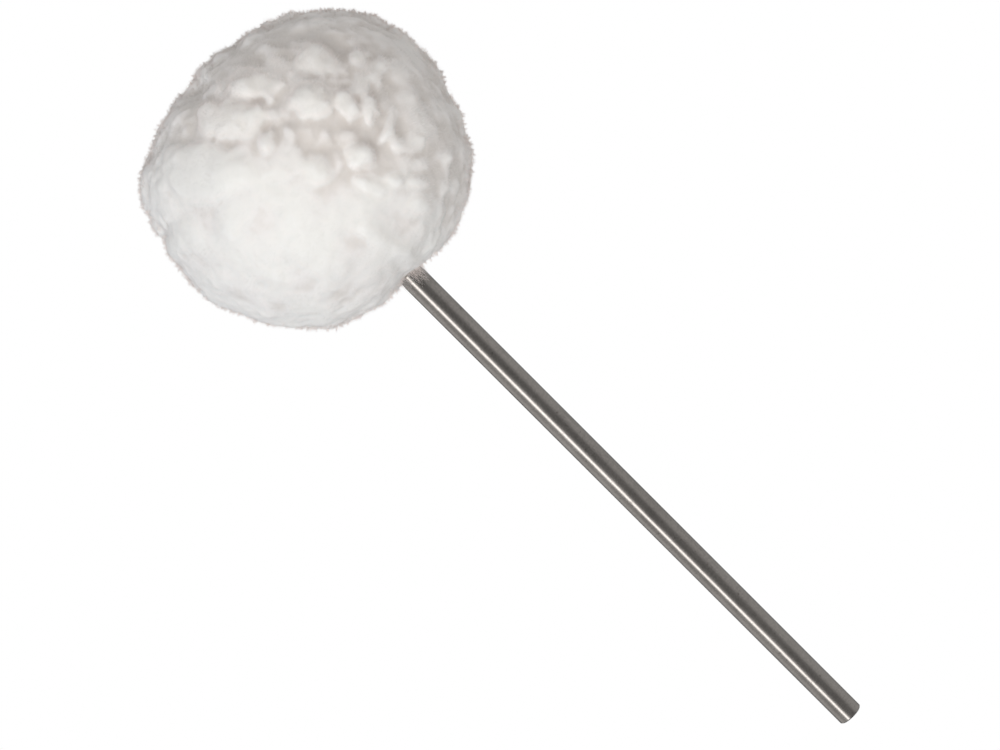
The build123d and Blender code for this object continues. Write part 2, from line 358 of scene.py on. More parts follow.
def puff_frames():
    """Each puff's middle and its three half-axes."""
    xy = np.array([p[:2] for p in PUFFS], float)
    size = np.array([p[2:] for p in PUFFS], float)
    # a puff's middle lies below its top, so the top moves out by half as much for the puff to show at xy
    n = out_of(on_surface(xy))
    xy = xy + 0.6 * size[:, 3:4] / 0.294 * np.stack([n @ view_r, -(n @ view_u)], 1)
    top = on_surface(xy)
    n = out_of(top)
    turn = np.radians(size[:, 2])
    ax = np.stack([np.cos(turn), np.sin(turn)], 1)
    ay = np.stack([-np.sin(turn), np.cos(turn)], 1)
    t1 = (on_surface(xy + ax * 4) - on_surface(xy - ax * 4)) / 8 * size[:, :1] * 1.2
    t2 = (on_surface(xy + ay * 4) - on_surface(xy - ay * 4)) / 8 * size[:, 1:2] * 1.2
    limit = 12.6 * MM
    t1 *= np.minimum(1, 1.25 * limit / np.linalg.norm(t1, axis=1, keepdims=True))
    t2 *= np.minimum(1, limit / np.linalg.norm(t2, axis=1, keepdims=True))
    thick = size[:, 3:4] * MM
    raised = (1 + 0.7 * puffiness(unit(top - HEAD)))[:, None] * size[:, 4:5] + 0.15
    mid = top + n * (raised * MM - thick)
    mids, a1, a2, a3 = [mid], [t1], [t2], [n * thick]
    LIT_PUFFS.extend(zip(top, t1, t2, np.clip(size[:, 4] + 0.3, 0, 0.9) / 0.9))

    # the rest, between and behind them: broad soft swells, with tufts among them away from the front
    placed = KDTree(len(top))
    for i, p in enumerate(top):
        placed.insert(p, i)
    placed.balance()
    hero_a, hero_b = np.linalg.norm(t1, axis=1), np.linalg.norm(t2, axis=1)
    for seed, count, small, spread, stand, drop, sink, flat in (
        (41, 420, 4.6, 3.4, 0.1, 0.6, 2.0, 0.7),
        (57, 300, 2.6, 1.7, 0.25, 1.1, 0.0, 0.7),
        (63, 1500, 1.9, 1.8, 0.45, 0.8, 2.9, 0.42),
    ):
        d = sphere_points(count, seed)
        r = np.random.default_rng(seed + 1)
        soft = puffiness(d)
        at = HEAD + d * outer_reach(d)[:, None]
        n = out_of(at)
        size = (small + spread * r.random(len(d))) * MM
        chance = r.random(len(d))
        keep = []
        for i in range(len(d)):
            p, which, gap = placed.find(at[i])
            if seed != 57:
                keep.append(gap > 0.75 * min(hero_a[which], hero_b[which]) or soft[i] < 0.35)
            else:
                front = d[i] @ view_v > 0.3
                keep.append(gap > hero_a[which] + 0.3 * size[i] and chance[i] < (0.2 * soft[i] if front else 0.75 * soft[i]))
        keep = np.array(keep)
        at, n, size, soft = at[keep], n[keep], size[keep], soft[keep]
        longer = 1 + 0.7 * r.random(len(at))
        u1, u2 = turned(n, seed + 2)
        thick = size * (flat + 0.2 * r.random(len(at)))
        up = (stand - drop * r.random(len(at)) - sink * soft) * MM
        if seed == 57:
            up = up - 0.9 * MM * step(d[keep] @ view_v, 0.2, 0.5)
        if seed == 63:
            rim = edge(d[keep])
            up = up + ((0.1 - 0.5 * r.random(len(at))) * rim - 0.25 * (1 - rim)) * MM
        mids.append(at + n * (up - thick)[:, None])
        a1.append(u1 * (size * longer)[:, None])
        a2.append(u2 * (size / np.sqrt(longer))[:, None])
        a3.append(n * thick[:, None])
    mid, a1, a2, a3 = [np.concatenate(x) for x in (mids, a1, a2, a3)]
    # the fibres stand on the puffs, so the puffs are that much lower, and a little smaller
    mid = mid - unit(a3) * NAP
    for a in (a1, a2):
        size = np.linalg.norm(a, axis=1, keepdims=True)
        a *= np.maximum(size - 0.3 * NAP, 0.5 * size) / size
    return mid, a1, a2, a3


def body_mesh():
    """The fleece as one closed body: puffs grown together over the oval, with soft clefts between them."""
    mid, a1, a2, a3 = puff_frames()
    co, tri = ball(3)
    pts = (
        mid[:, None, :]
        + 0.93 * (
            co[None, :, 0:1] * a1[:, None, :]
            + co[None, :, 1:2] * a2[:, None, :]
            + co[None, :, 2:3] * a3[:, None, :]
        )
    )
    faces = tri[None] + (np.arange(len(mid)) * len(co))[:, None, None]
    # the small curds that each puff is made of
    r = np.random.default_rng(88)
    wide = np.sqrt(np.linalg.norm(a1, axis=1) * np.linalg.norm(a2, axis=1))
    soft = puffiness(unit(mid - HEAD))
    many = np.where(soft < 0.3, 0, np.clip((wide / MM * 2.6 * soft).astype(int), 2, 24))
    own = np.repeat(np.arange(len(mid)), many)
    u = unit(r.normal(size=(len(own), 3)))
    u[:, 2] = np.abs(u[:, 2]) - 0.25 * r.random(len(own))
    u = unit(u)
    size = np.clip(wide[own] * (0.22 + 0.2 * r.random(len(own))), 0.8 * MM, 2.0 * MM)
    at = mid[own] + 0.74 * (u[:, 0:1] * a1[own] + u[:, 1:2] * a2[own] + u[:, 2:3] * a3[own])
    at = at - out_of(at) * (0.35 * size * (1 - soft[own]) + 0.1 * size)[:, None]
    b1, b2 = turned(out_of(at), 89)
    n = out_of(at)
    longer = 1 + 0.7 * r.random(len(own))[:, None]
    small, small_tri = ball(2)
    curds = (
        at[:, None, :]
        + small[None, :, 0:1] * (b1 * size[:, None] * longer)[:, None, :]
        + small[None, :, 1:2] * (b2 * size[:, None] / longer)[:, None, :]
        + small[None, :, 2:3] * (n * size[:, None] * 0.75)[:, None, :]
    )
    small_faces = small_tri[None] + (np.arange(len(at)) * len(small))[:, None, None]
    flat = np.concatenate([pts.reshape(-1, 3), curds.reshape(-1, 3)])
    faces = np.concatenate([faces.reshape(-1, 3), small_faces.reshape(-1, 3) + pts.shape[0] * pts.shape[1]])
    wild = (0.35 + 0.65 * puffiness(unit(flat - HEAD)))[:, None] * MM
    flat = flat + wild * (0.75 * noise3v(flat, 4.0 * MM, 31) + 0.4 * noise3v(flat, 2.0 * MM, 35))
    core, core_tri = ball(6)
    deep = (0.4 + 1.5 * puffiness(unit(core))) * MM
    core_pts = HEAD + core * (outer_reach(unit(core)) - deep - NAP)[:, None]
    co = np.concatenate([flat, core_pts])
    tri = np.concatenate([faces, core_tri + len(flat)])
    ob = new_mesh("fleece_body_raw", co, tri.ravel(), np.arange(len(tri)) * 3)
    m = ob.modifiers.new("grow", "REMESH")
    m.mode = "VOXEL"
    m.voxel_size = 0.68 * MM
    m.adaptivity = 0.0
    m = ob.modifiers.new("soften", "SMOOTH")
    m.factor = 0.5
    m.iterations = 8
    dg = bpy.context.evaluated_depsgraph_get()
    me = bpy.data.meshes.new_from_object(ob.evaluated_get(dg), depsgraph=dg)
    bpy.data.objects.remove(ob)
    return me


def cavity_mesh():
    """What the fleece is hollow for: the backing over the core, and the rod with the gathered sleeve."""
    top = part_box("fleece_backing")[1].z
    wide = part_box("fleece_backing")[1].x
    half = top - HEAD[2]
    gap = 0.05 * MM
    neck = 5.0 * MM
    start = math.asin(neck / (wide + gap))
    profile = [(0.0, top + gap)]
    for i in range(1, 49):
        t = math.pi / 2 - i / 48 * (math.pi - start)
        profile.append(((wide + gap) * math.cos(t), HEAD[2] + (half + gap) * math.sin(t)))
    profile.append((neck, HEAD[2] - half + 3 * MM))
    profile.append((neck, 0.1925))
    profile.append((ROD_R + 0.25 * MM, 0.1905))
    profile.append((ROD_R + 0.25 * MM, 0.17))
    profile.append((0.0, 0.17))
    n = 96
    co = [(0.0, 0.0, profile[0][1])]
    for r, z in profile[1:-1]:
        for k in range(n):
            co.append((r * math.cos(2 * math.pi * k / n), r * math.sin(2 * math.pi * k / n), z))
    co.append((0.0, 0.0, profile[-1][1]))
    rows, last = len(profile) - 2, len(co) - 1
    tri = []
    for k in range(n):
        m = (k + 1) % n
        tri.append((0, 1 + k, 1 + m))
        for i in range(rows - 1):
            p, q = 1 + i * n, 1 + (i + 1) * n
            tri += [(p + k, q + k, q + m), (p + k, q + m, p + m)]
        p = 1 + (rows - 1) * n
        tri.append((p + k, last, p + m))
    return new_mesh("cavity", np.array(co), np.array(tri).ravel(), np.arange(len(tri)) * 3)


body_me = body_mesh()
co, tri = mesh_arrays(body_me)
d = out_of(co)
rough = puffiness(unit(co - HEAD))
rim = edge(unit(co - HEAD))
crown = step(unit(co - HEAD) @ view_u, 0.55, 0.8) * (1 - rim)
co = co + d * (
    (0.7 + 0.1 * crown) * noise3(co, 8.0 * MM, 69)
    + (0.3 + 0.25 * np.maximum(rim, crown)) * noise3(co, 4.6 * MM, 70)
    + (0.10 + 0.08 * rough + 0.16 * rim) * noise3(co, 2.4 * MM, 71)
    + (0.05 + 0.12 * rim) * noise3(co, 1.3 * MM, 72)
)[:, None] * MM
body_me.vertices.foreach_set("co", np.ascontiguousarray(co, np.float32).ravel())
body_me.update()


def recesses(co, tri, rounds):
    """How far each point lies below the average of the fleece around it, in metres."""
    height = np.linalg.norm((co - HEAD) / np.array([1.0, 1.0, PILE_C / PILE_A]), axis=1)
    a, b = tri.ravel(), np.roll(tri, 1, axis=1).ravel()
    share = np.bincount(a, minlength=len(co)) + np.bincount(b, minlength=len(co))
    wide = height.copy()
    for _ in range(rounds):
        total = np.bincount(a, wide[b], len(co)) + np.bincount(b, wide[a], len(co))
        wide = 0.5 * wide + 0.5 * total / share
    return wide - height


def painted_light_on_tops(co):
    """Painted light on the tops of the largest puffs: 1 on those painted whitest, and 0 away from them."""
    most = np.zeros(len(co))
    fray = 0.14 * noise3(co, 3.0 * MM, 95) + 0.10 * noise3(co, 1.5 * MM, 96)
    for top, t1, t2, white in LIT_PUFFS:
        if white > 0:
            q = co - top
            near = np.nonzero((q * q).sum(1) < (20 * MM) ** 2)[0]
            a, b = q[near] @ t1 / (t1 @ t1), q[near] @ t2 / (t2 @ t2)
            r = np.sqrt(a * a + b * b) + fray[near]
            most[near] = np.maximum(most[near], white * (1 - step(r, 0.8, 1.12)))
    return most


def painted_shade_of(co, tri):
    """Painted shade, from 0 on the tops of the puffs to 1 deep between them: creamier and darker in the clefts, deep
    below the outer surface and over the tufted part, with painted light on the largest puffs' tops and some random
    tone.
    """
    sunk = recesses(co, tri, 60) / MM
    below = (outer_reach(unit(co - HEAD)) - NAP - np.linalg.norm(co - HEAD, axis=1)) / MM
    drift_and_painted_shade = 0.22 * noise3(co, 7 * MM, 91) + 0.15 * noise3(co, 3 * MM, 92)
    tufted = puffiness(unit(co - HEAD))
    drift_and_painted_shade = drift_and_painted_shade + (0.42 - 0.22 * tufted) * noise3(co, 9 * MM, 97) + 0.2 * (1 - tufted) * noise3(co, 4.5 * MM, 94)
    white = painted_light_on_tops(co)
    # painted shade over the tufted part, away from the largest puffs, and painted light on those puffs' tops
    drift_and_painted_shade = drift_and_painted_shade + 0.36 * tufted * (1 - white) - 0.3 * white
    # painted shade deep below the outer surface and in the clefts
    return np.clip(0.12 + drift_and_painted_shade + 0.6 * np.clip((below - 0.3) / 1.6, 0, 1) + 0.6 * np.clip(sunk / 0.8, -0.4, 1), 0, 1)


painted_shade01 = painted_shade_of(co, tri)

raw = bpy.data.objects.new("fleece_raw", body_me)
scene.collection.objects.link(raw)
cutter = cavity_mesh()
m = raw.modifiers.new("hollow", "BOOLEAN")
m.operation = "DIFFERENCE"
m.object = cutter
m.solver = "MANIFOLD"
dg = bpy.context.evaluated_depsgraph_get()
hollow = bpy.data.meshes.new_from_object(raw.evaluated_get(dg), depsgraph=dg)
bpy.data.objects.remove(raw)
bpy.data.objects.remove(cutter)
hollow.name = "fleece_body"
fleece_body = bpy.data.objects.new("fleece_body", hollow)
scene.collection.objects.link(fleece_body)
hollow.polygons.foreach_set("use_smooth", np.ones(len(hollow.polygons), bool))
# the painted shade and painted light, stored on the body's points for its colour
layer = hollow.attributes.new("recess", "FLOAT", "POINT")
layer.data.foreach_set("value", np.ascontiguousarray(painted_shade_of(*mesh_arrays(hollow)), np.float32))
print("body", len(hollow.vertices), "points", len(hollow.loop_triangles), "triangles")
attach(fleece_body, "root")
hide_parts("fleece_pile")

# ---------------------------------------------------------------- fleece: fibres


def smooth_normals(co, tri, rounds=2):
    """Each point's outward direction, averaged with its neighbours'."""
    face = np.cross(co[tri[:, 1]] - co[tri[:, 0]], co[tri[:, 2]] - co[tri[:, 0]])
    for _ in range(rounds):
        total = np.zeros_like(co)
        for k in range(3):
            for x in range(3):
                total[:, x] += np.bincount(tri[:, k], face[:, x], len(co))
        n = unit(total)
        face = n[tri].sum(1)
    return n


def scatter(co, tri, normal, weight, count, r):
    """count points spread over the triangles in proportion to their area times weight, with the outward direction and
    the painted shade there.
    """
    area = np.linalg.norm(
        np.cross(co[tri[:, 1]] - co[tri[:, 0]], co[tri[:, 2]] - co[tri[:, 0]]), axis=1
    )
    share = np.cumsum(area * weight)
    pick = np.searchsorted(share / share[-1], (np.arange(count) + r.random(count)) / count)
    pick = np.minimum(pick, len(tri) - 1)
    u, v = r.random(count), r.random(count)
    over = u + v > 1
    u, v = np.where(over, 1 - u, u), np.where(over, 1 - v, v)
    w = np.stack([1 - u - v, u, v], 1)
    at = (co[tri[pick]] * w[:, :, None]).sum(1)
    n = unit((normal[tri[pick]] * w[:, :, None]).sum(1))
    return at, n, (painted_shade01[tri[pick]] * w).sum(1)


def comb(p, n, seed):
    """The direction in which the fleece lies at points p with outward directions n."""
    v = noise3v(p, 9 * MM, seed) + 0.6 * noise3v(p, 3.2 * MM, seed + 1)
    v = v - (v * n).sum(1, keepdims=True) * n
    return unit(v)


def tubes(name, path, radius, tint, material):
    """One mesh of closed three-sided fibres that taper to a point, along path, with a map of tint across and root to tip up."""
    count, points = path.shape[:2]
    tangent = np.gradient(path, axis=1)
    tangent = unit(tangent)
    r = np.random.default_rng(points * 1000 + count)
    ref = unit(np.cross(tangent[:, points // 2], unit(r.normal(size=(count, 3)))))[:, None, :]
    e1 = unit(ref - (ref * tangent).sum(2, keepdims=True) * tangent)
    e2 = np.cross(tangent, e1)
    rings = points - 1
    angle = np.arange(3) * 2 * math.pi / 3
    ring = (
        path[:, :rings, None, :]
        + radius[:, :rings, None, None]
        * (
            np.cos(angle)[None, None, :, None] * e1[:, :rings, None, :]
            + np.sin(angle)[None, None, :, None] * e2[:, :rings, None, :]
        )
    )
    per = rings * 3 + 1
    co = np.concatenate([ring.reshape(count, rings * 3, 3), path[:, -1:, :]], 1)
    quads, tips = [], []
    for i in range(rings - 1):
        for k in range(3):
            m = (k + 1) % 3
            quads.append([i * 3 + k, i * 3 + m, (i + 1) * 3 + m, (i + 1) * 3 + k])
    for k in range(3):
        m = (k + 1) % 3
        tips.append([(rings - 1) * 3 + k, (rings - 1) * 3 + m, rings * 3])
    tips.append([2, 1, 0])
    quads, tips = np.array(quads), np.array(tips)
    base = np.arange(count)[:, None, None] * per
    loops = np.concatenate(
        [(quads[None] + base).reshape(count, -1), (tips[None] + base).reshape(count, -1)], 1
    )
    nq, nt = len(quads), len(tips)
    one = np.concatenate([np.arange(nq) * 4, nq * 4 + np.arange(nt) * 3])
    starts = one[None] + (np.arange(count) * (nq * 4 + nt * 3))[:, None]
    ob = new_mesh(name, co.reshape(-1, 3), loops.ravel(), starts.ravel())
    # the map: across is the fibre's tint, random tone plus, for fibres rooted on the body, painted shade taken from
    # it; up is root to tip, and each point has one place on it
    k_of = np.concatenate([np.tile([0, 1, 2], rings), [1]])
    v_of = np.concatenate([np.repeat(np.arange(rings), 3), [rings]]) / rings
    v_of[1] = 0.3 / rings
    one = np.concatenate([quads.ravel(), tips.ravel()])
    across = tint[:, None] * 0.98 + 0.004 * k_of[one][None] + 0.004
    uv = np.stack([across, np.broadcast_to(v_of[one] * 0.98 + 0.01, across.shape)], 2)
    layer = ob.data.uv_layers.new(name="OFBake")
    layer.data.foreach_set("uv", np.ascontiguousarray(uv, np.float32).ravel())
    ob.data.materials.append(material)
    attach(ob, "root")
    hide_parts("fleece_pile")
    return ob


def node(nt, kind, **inputs):
    """A shader node with its inputs set by name."""
    n = nt.nodes.new(kind)
    for key, value in inputs.items():
        n.inputs[key.replace("_", " ")].default_value = value
    return n


def ramp(nt, source, stops):
    """A colour ramp fed by source: stops are (place, colour)."""
    n = nt.nodes.new("ShaderNodeValToRGB")
    e = n.color_ramp.elements
    while len(e) < len(stops):
        e.new(0.5)
    for el, (place, colour) in zip(e, stops):
        el.position = place
        el.color = (*colour, 1)
    nt.links.new(source, n.inputs[0])
    return n


# The fleece's own white, and the creamier and darker tones that paint shade into its clefts.
FLEECE_WHITE = (0.985, 0.908, 0.872)
FLEECE_CREAM_SHADE = (0.93, 0.888, 0.862)
FLEECE_DEEP_SHADE = (0.82, 0.782, 0.748)

mat = bpy.data.materials.new("fleece_fibre")
mat.use_nodes = True
nt = mat.node_tree
b = nt.nodes["Principled BSDF"]
b.inputs["Roughness"].default_value = 1.0
b.inputs["Specular IOR Level"].default_value = 0.0
uvn = nt.nodes.new("ShaderNodeUVMap")
uvn.uv_map = "OFBake"
sep = nt.nodes.new("ShaderNodeSeparateXYZ")
nt.links.new(uvn.outputs[0], sep.inputs[0])
# colour from the fibre's tint: white, then creamier and darker where shade is painted
colours = ramp(nt, sep.outputs[0], [(0.0, FLEECE_WHITE), (0.5, FLEECE_CREAM_SHADE), (1.0, FLEECE_DEEP_SHADE)])
nt.links.new(colours.outputs[0], b.inputs["Base Color"])

body_mat = bpy.data.materials.new("fleece_body")
body_mat.use_nodes = True
nt = body_mat.node_tree
b = nt.nodes["Principled BSDF"]
b.inputs["Roughness"].default_value = 1.0
b.inputs["Specular IOR Level"].default_value = 0.0
b.inputs["Subsurface Weight"].default_value = 1.0
b.inputs["Subsurface Radius"].default_value = (1.0, 1.0, 1.0)
b.inputs["Subsurface Scale"].default_value = 0.0032
at = nt.nodes.new("ShaderNodeAttribute")
at.attribute_name = "recess"
# colour from the painted shade: white on the puffs' tops, creamier and darker in the clefts
colours = ramp(nt, at.outputs["Fac"], [(0.0, FLEECE_WHITE), (0.5, FLEECE_CREAM_SHADE), (1.0, FLEECE_DEEP_SHADE)])
nt.links.new(colours.outputs[0], b.inputs["Base Color"])
fleece_body.data.materials.clear()
fleece_body.data.materials.append(body_mat)

normal = smooth_normals(co, tri)
weight = 0.5 + 1.2 * rough[tri].mean(1)
r = np.random.default_rng(7)
SHARE = 1.0


def wool(name, count, points, low, high, lean, thick, flow, pull, curl, seed):
    """A layer of standing fibres over the body. Lengths run from low to high mm, lean is how far they tilt over, in
    radians, flow how much of that follows the lie of the fleece, pull how far their tips gather into locks, and curl
    their waviness in mm."""
    r = np.random.default_rng(seed)
    count = int(count * SHARE)
    at, n, shade_at = scatter(co, tri, normal, weight, count, r)
    deep = outer_reach(unit(at - HEAD)) - np.linalg.norm(at - HEAD, axis=1)
    soft = puffiness(unit(at - HEAD))
    short = (1 - 0.35 * np.clip((deep / MM - NAP / MM - 0.8) / 2.5, 0, 1)) * (0.72 + 0.28 * soft) * (1 - 0.62 * step(unit(at - HEAD) @ view_v, -0.5, 0.0) * edge(unit(at - HEAD)))
    lie = comb(at, n, 60)
    any_way, _ = turned(n, seed + 1)
    along = flow * lie + (1 - flow) * any_way
    along = unit(along - (along * n).sum(1, keepdims=True) * n)
    tilt = np.minimum(lean * (0.25 + 1.2 * r.random(count)) * (1.35 - 0.35 * soft), 1.5)
    length = (low + (high - low) * r.random(count)) * MM * short
    t = np.linspace(0, 1, points)[None, :, None]
    # the tilt grows towards the tip
    rise = np.cos(tilt * 0.35)[:, None, None] * t - (np.cos(tilt * 0.35) - np.cos(tilt))[:, None, None] * t * t * 0.6
    over = np.sin(tilt * 0.35)[:, None, None] * t + (np.sin(tilt) - np.sin(tilt * 0.35))[:, None, None] * t * t
    path = (at - n * 0.2 * MM)[:, None, :] + length[:, None, None] * (rise * n[:, None, :] + over * along[:, None, :])
    if pull:
        near = np.array([tree.find(p)[1] for p in at])
        guide = guide_tip[near][:, None, :]
        share = (pull * (0.4 + 0.6 * np.maximum(soft, edge(unit(at - HEAD)))) * (0.3 + 0.9 * r.random(count)))[:, None, None] * t**1.5
        path = path + np.clip(share, 0, 0.9) * (guide - path)
    axis = unit(path[:, -1] - path[:, 0])[:, None, :]
    e1 = unit(np.cross(axis, any_way[:, None, :]))
    e2 = np.cross(axis, e1)
    phase = r.random(count)[:, None, None] * 2 * math.pi
    rounds = (0.4 + 0.7 * r.random(count))[:, None, None] * 2 * math.pi * np.sign(r.random(count) - 0.5)[:, None, None]
    swing = (curl * (0.4 + r.random(count)))[:, None, None] * MM * np.minimum(t * 2.5, 1)
    path = path + swing * (np.cos(phase + rounds * t) * e1 + np.sin(phase + rounds * t) * e2)
    radius = thick * (1 - 0.65 * np.linspace(0, 1, points))[None, :] * MM * (0.75 + 0.5 * r.random(count))[:, None]
    # painted shade from the body under each root, with random tone
    tint = np.clip(0.75 * shade_at + 0.25 * r.random(count), 0, 1)
    order = np.argsort(np.arctan2(at[:, 1], at[:, 0]), kind="stable")
    per_piece = 195000 // ((points - 2) * 6 + 4)
    pieces = max(1, math.ceil(count / per_piece))
    for i, s in enumerate(np.array_split(order, pieces)):
        tubes(f"{name}_{i + 1:02d}", path[s], radius[s], tint[s], mat)


guide_at, guide_n, _ = scatter(co, tri, normal, weight, 6000, r)
guide_way, _ = turned(guide_n, 77)
guide_tip = guide_at + (guide_n * 1.7 + guide_way * 0.9) * MM
tree = KDTree(len(guide_at))
for i, p in enumerate(guide_at):
    tree.insert(p, i)
tree.balance()

wool("fleece_nap", 90000, 4, 0.8, 1.7, 1.0, 0.016, 0.15, 0.0, 0.2, 101)
wool("fleece_locks", 50000, 4, 1.2, 2.4, 0.8, 0.018, 0.25, 0.7, 0.12, 102)
wool("fleece_fuzz", 6000, 4, 1.6, 3.0, 0.7, 0.014, 0.1, 0.0, 0.4, 103)


def tufts(name, count, each, seed):
    """Small soft points, each of them a few fibres drawn together, most of them where the outline shows them."""
    r = np.random.default_rng(seed)
    count = int(count * SHARE)
    turned_to = unit(co[tri].mean(1) - HEAD) @ view_v
    there = (0.06 + step(turned_to, -0.35, -0.05)) * (1 - step(turned_to, 0.0, 0.28))
    at, n, shade_at = scatter(co, tri, normal, there, count, r)
    way, across = turned(n, seed + 1)
    tall = (0.5 + 0.9 * r.random(count) ** 2) * MM
    tip = at + tall[:, None] * (n + (0.8 * r.random(count))[:, None] * way)
    own = np.repeat(np.arange(count), each)
    spot = r.random(len(own)) * 2 * math.pi
    wide = 0.65 * MM * np.sqrt(r.random(len(own)))
    foot = at[own] + (wide * np.cos(spot))[:, None] * way[own] + (wide * np.sin(spot))[:, None] * across[own]
    foot = foot - n[own] * 0.25 * MM
    end = tip[own] + r.normal(0, 0.16 * MM, (len(own), 3))
    t = np.linspace(0, 1, 4)[None, :, None]
    path = foot[:, None, :] + t * (end - foot)[:, None, :] + (t * (1 - t) * 0.5 * tall[own][:, None, None]) * n[own][:, None, :]
    radius = 0.023 * MM * (1 - 0.6 * np.linspace(0, 1, 4))[None, :] * (0.7 + 0.6 * r.random(len(own)))[:, None]
    # painted shade from the body under each tuft, with random tone
    tint = np.clip(0.25 * shade_at[own] + 0.1 * r.random(len(own)), 0, 1)
    for i, part in enumerate(np.array_split(np.arange(len(own)), max(1, math.ceil(len(own) / 12000)))):
        tubes(f"{name}_{i + 1:02d}", path[part], radius[part], tint[part], mat)


tufts("fleece_tufts", 2200, 16, 131)


def wisps(count, seed):
    """Loose fibres from the fleece's mouth that lie along the rod, most of them on its front right."""
    r = np.random.default_rng(seed)
    turn_of = np.radians(-90 + np.where(r.random(count) < 0.7, r.normal(38, 26, count), r.uniform(-100, 100, count)))
    out = np.stack([np.cos(turn_of), np.sin(turn_of), np.zeros(count)], 1)
    side = np.stack([-np.sin(turn_of), np.cos(turn_of), np.zeros(count)], 1)
    down = np.array([0.0, 0.0, -1.0])
    n = 9
    t = np.linspace(0, 1, n)[None, :, None]
    long_ = (2.2 + 4.2 * r.random(count) ** 1.5)[:, None, None] * MM
    lift = (0.12 + 0.5 * r.random(count))[:, None, None] * MM
    sway = r.normal(0, 1.3, count)[:, None, None] * MM
    wave = r.normal(0, 0.35, count)[:, None, None] * MM
    phase = r.uniform(0, 6.28, count)[:, None, None]
    start = np.array([0.0, 0.0, 0.1915]) + out * (ROD_R + 0.35 * MM)
    path = start[:, None, :] + down * long_ * t + side[:, None, :] * (sway * t * t + wave * np.sin(phase + 5 * t) * t)
    # keep each path just outside the rod
    flat = path[:, :, :2]
    reach = np.linalg.norm(flat, axis=2, keepdims=True)
    clear = ROD_R + 0.08 * MM + lift * (0.6 + 0.8 * np.sin(3.1 * t + phase) ** 2) * (1 - 0.4 * t)
    path[:, :, :2] = flat / reach * np.maximum(clear, ROD_R + 0.06 * MM)
    radius = 0.028 * MM * (1 - 0.6 * np.linspace(0, 1, n))[None, :] * (0.7 + 0.6 * r.random(count))[:, None]
    tubes("fleece_wisps", path, radius, 0.2 * r.random(count), mat)


wisps(110, 111)

# ---------------------------------------------------------------- finishes of the rod and the hardware


def link(nt, a, b):
    nt.links.new(a, b)


def noise(nt, where, scale, detail=4.0, rough=0.55, stretch=(1, 1, 1)):
    """A noise value over object coordinates, stretched along the axes."""
    m = nt.nodes.new("ShaderNodeMapping")
    m.inputs["Scale"].default_value = stretch
    link(nt, where, m.inputs["Vector"])
    n = nt.nodes.new("ShaderNodeTexNoise")
    n.inputs["Scale"].default_value = scale
    n.inputs["Detail"].default_value = detail
    n.inputs["Roughness"].default_value = rough
    link(nt, m.outputs[0], n.inputs["Vector"])
    return n.outputs["Fac"]


def ranged(nt, value, low, high, from_low=0.0, from_high=1.0):
    n = nt.nodes.new("ShaderNodeMapRange")
    n.inputs["From Min"].default_value = from_low
    n.inputs["From Max"].default_value = from_high
    n.inputs["To Min"].default_value = low
    n.inputs["To Max"].default_value = high
    link(nt, value, n.inputs["Value"])
    return n.outputs[0]


def both(nt, a, b, how="ADD"):
    n = nt.nodes.new("ShaderNodeMath")
    n.operation = how
    for i, v in enumerate((a, b)):
        if isinstance(v, float):
            n.inputs[i].default_value = v
        else:
            link(nt, v, n.inputs[i])
    return n.outputs[0]


def fresh(name, metal, spec=0.5):
    m = bpy.data.materials.new(name)
    m.use_nodes = True
    nt = m.node_tree
    b = nt.nodes["Principled BSDF"]
    b.inputs["Metallic"].default_value = metal
    b.inputs["Specular IOR Level"].default_value = spec
    c = nt.nodes.new("ShaderNodeTexCoord")
    return m, nt, b, c.outputs["Object"]


def bumped(nt, b, height, depth, strength=1.0):
    n = nt.nodes.new("ShaderNodeBump")
    n.inputs["Strength"].default_value = strength
    n.inputs["Distance"].default_value = depth
    link(nt, height, n.inputs["Height"])
    link(nt, n.outputs[0], b.inputs["Normal"])


def ground_steel():
    """Centreless-ground rod: fine rings round it, faint smears along it and a few small pits."""
    m, nt, b, at = fresh("ground_steel", 1.0)
    rings = noise(nt, at, 900.0, 3.0, 0.6, (0.25, 0.25, 6.0))
    smear = noise(nt, at, 260.0, 4.0, 0.6, (1.0, 1.0, 0.06))
    cloud = noise(nt, at, 150.0, 5.0, 0.6)
    grain = noise(nt, at, 1900.0, 2.0, 0.6)
    pits = ranged(nt, noise(nt, at, 700.0, 2.0, 0.5), 0.0, 1.0, 0.66, 0.76)
    tone = both(nt, both(nt, ranged(nt, cloud, -0.24, 0.24), ranged(nt, smear, -0.3, 0.3)), both(nt, ranged(nt, grain, -0.26, 0.26), ranged(nt, rings, -0.15, 0.15)))
    tone = both(nt, tone, 0.5)
    tone = both(nt, tone, ranged(nt, pits, 0.0, 0.3), "SUBTRACT")
    c = ramp(nt, tone, [(0.0, (0.34, 0.31, 0.285)), (0.42, (0.575, 0.535, 0.50)), (0.58, (0.66, 0.615, 0.575)), (1.0, (0.82, 0.78, 0.735))])
    link(nt, c.outputs[0], b.inputs["Base Color"])
    link(nt, ranged(nt, both(nt, cloud, smear), 0.13, 0.27, 0.6, 1.4), b.inputs["Roughness"])
    height = both(nt, ranged(nt, rings, 0.0, 1.0), both(nt, ranged(nt, grain, 0.0, 0.7), pits, "SUBTRACT"))
    bumped(nt, b, height, 0.0000016)
    return m


